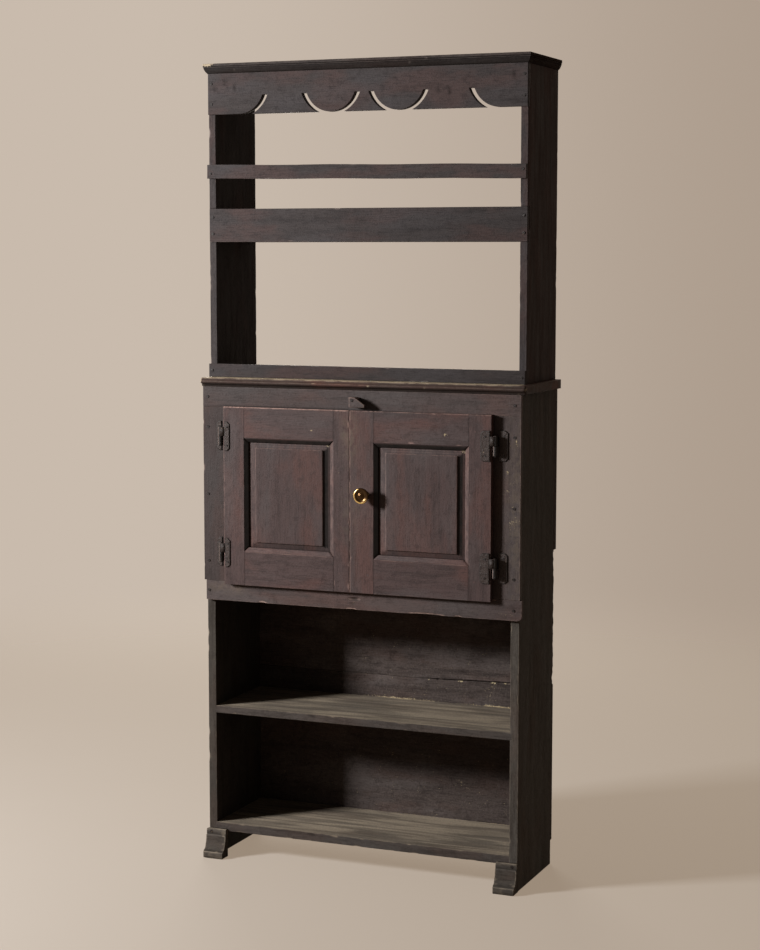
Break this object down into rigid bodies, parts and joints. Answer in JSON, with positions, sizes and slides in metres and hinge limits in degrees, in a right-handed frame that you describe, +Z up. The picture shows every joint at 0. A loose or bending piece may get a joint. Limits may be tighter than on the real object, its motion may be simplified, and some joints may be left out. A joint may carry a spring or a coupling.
{
  "type": "step back cupboard",
  "caption": "Tall narrow step back cupboard: open plate rack with pierced frieze and guard rail on a shallow case with panelled doors over open shelves and moulded feet.",
  "frame": {"origin": "middle of the underside of the bounding box, on the floor", "axes": "+Z up, -Y to the front with the doors, +X to the right as seen from the front"},
  "size_m": [0.8604, 0.3416, 2],
  "materials": {
    "dark_stained_wood": "old near-black brown stained pine, waxed, rubbed pink-brown on its arrises",
    "worn_shelf_wood": "old dark stain worn thin and dusty grey on the tops",
    "back_wood": "rough sawn dark stained boards, dry and dull",
    "hinge_iron": "iron hinges under the same dark stain, rubbed bright on the barrels",
    "wrought_nails": "dark oxidised iron",
    "knob_brass": "aged brass, dark in the hollow, rubbed bright on the rim",
    "latch_iron": "dull old steel"
  },
  "bodies": {
    "case": {"rack_left_side": "dark_stained_wood", "rack_right_side": "dark_stained_wood", "rack_top_board": "dark_stained_wood", "cornice_front": "dark_stained_wood", "cornice_left_return": "dark_stained_wood", "cornice_right_return": "dark_stained_wood", "frieze": "dark_stained_wood", "guard_rail": "dark_stained_wood", "shelf_front_rail": "dark_stained_wood", "plate_shelf": "worn_shelf_wood", "rack_base_rail": "dark_stained_wood", "waist_board": "dark_stained_wood", "case_left_side": "dark_stained_wood", "case_right_side": "dark_stained_wood", "frame_top_rail": "dark_stained_wood", "frame_bottom_rail": "dark_stained_wood", "frame_left_stile": "dark_stained_wood", "frame_right_stile": "dark_stained_wood", "cupboard_floor": "worn_shelf_wood", "open_shelf": "worn_shelf_wood", "bottom_board": "worn_shelf_wood", "back_board_lower": "back_wood", "back_board_middle": "back_wood", "back_board_upper": "back_wood", "left_foot": "dark_stained_wood", "right_foot": "dark_stained_wood", "frame_hinge_nails": "wrought_nails", "wrought_nails": "wrought_nails", "button_nail": "wrought_nails", "left_upper_hinge_frame_leaf": "hinge_iron", "left_upper_hinge_pin": "hinge_iron", "left_lower_hinge_frame_leaf": "hinge_iron", "left_lower_hinge_pin": "hinge_iron", "right_upper_hinge_frame_leaf": "hinge_iron", "right_upper_hinge_pin": "hinge_iron", "right_lower_hinge_frame_leaf": "hinge_iron", "right_lower_hinge_pin": "hinge_iron"},
    "left_door": {"left_door_hinge_stile": "dark_stained_wood", "left_door_meeting_stile": "dark_stained_wood", "left_door_top_rail": "dark_stained_wood", "left_door_bottom_rail": "dark_stained_wood", "left_door_panel": "dark_stained_wood", "left_door_pegs": "dark_stained_wood", "left_door_hinge_nails": "wrought_nails", "left_upper_hinge_door_leaf": "hinge_iron", "left_lower_hinge_door_leaf": "hinge_iron"},
    "right_door": {"right_door_hinge_stile": "dark_stained_wood", "right_door_meeting_stile": "dark_stained_wood", "right_door_top_rail": "dark_stained_wood", "right_door_bottom_rail": "dark_stained_wood", "right_door_panel": "dark_stained_wood", "right_door_pegs": "dark_stained_wood", "right_door_hinge_nails": "wrought_nails", "right_upper_hinge_door_leaf": "hinge_iron", "right_lower_hinge_door_leaf": "hinge_iron", "knob_rose": "knob_brass"},
    "knob": {"brass_knob": "knob_brass", "knob_spindle": "latch_iron", "latch_tongue": "latch_iron"},
    "turn_button": {"turn_button": "dark_stained_wood"}
  },
  "joints": [
    {"name": "left_door_hinge", "type": "hinge", "parent": "case", "child": "left_door", "pos_m": [-0.36525, -0.13825, 0.936], "axis": [0, 0, -1], "range_deg": [0, 170]},
    {"name": "right_door_hinge", "type": "hinge", "parent": "case", "child": "right_door", "pos_m": [0.35975, -0.13825, 0.936], "axis": [0, 0, 1], "range_deg": [0, 170]},
    {"name": "knob_turn", "type": "hinge", "parent": "right_door", "child": "knob", "pos_m": [0.02625, -0.15635, 0.952], "axis": [0, -1, 0], "range_deg": [0, 90]},
    {"name": "turn_button_pivot", "type": "hinge", "parent": "case", "child": "turn_button", "pos_m": [-0.00475, -0.13635, 1.181], "axis": [0, 1, 0], "continuous": true}
  ]
}
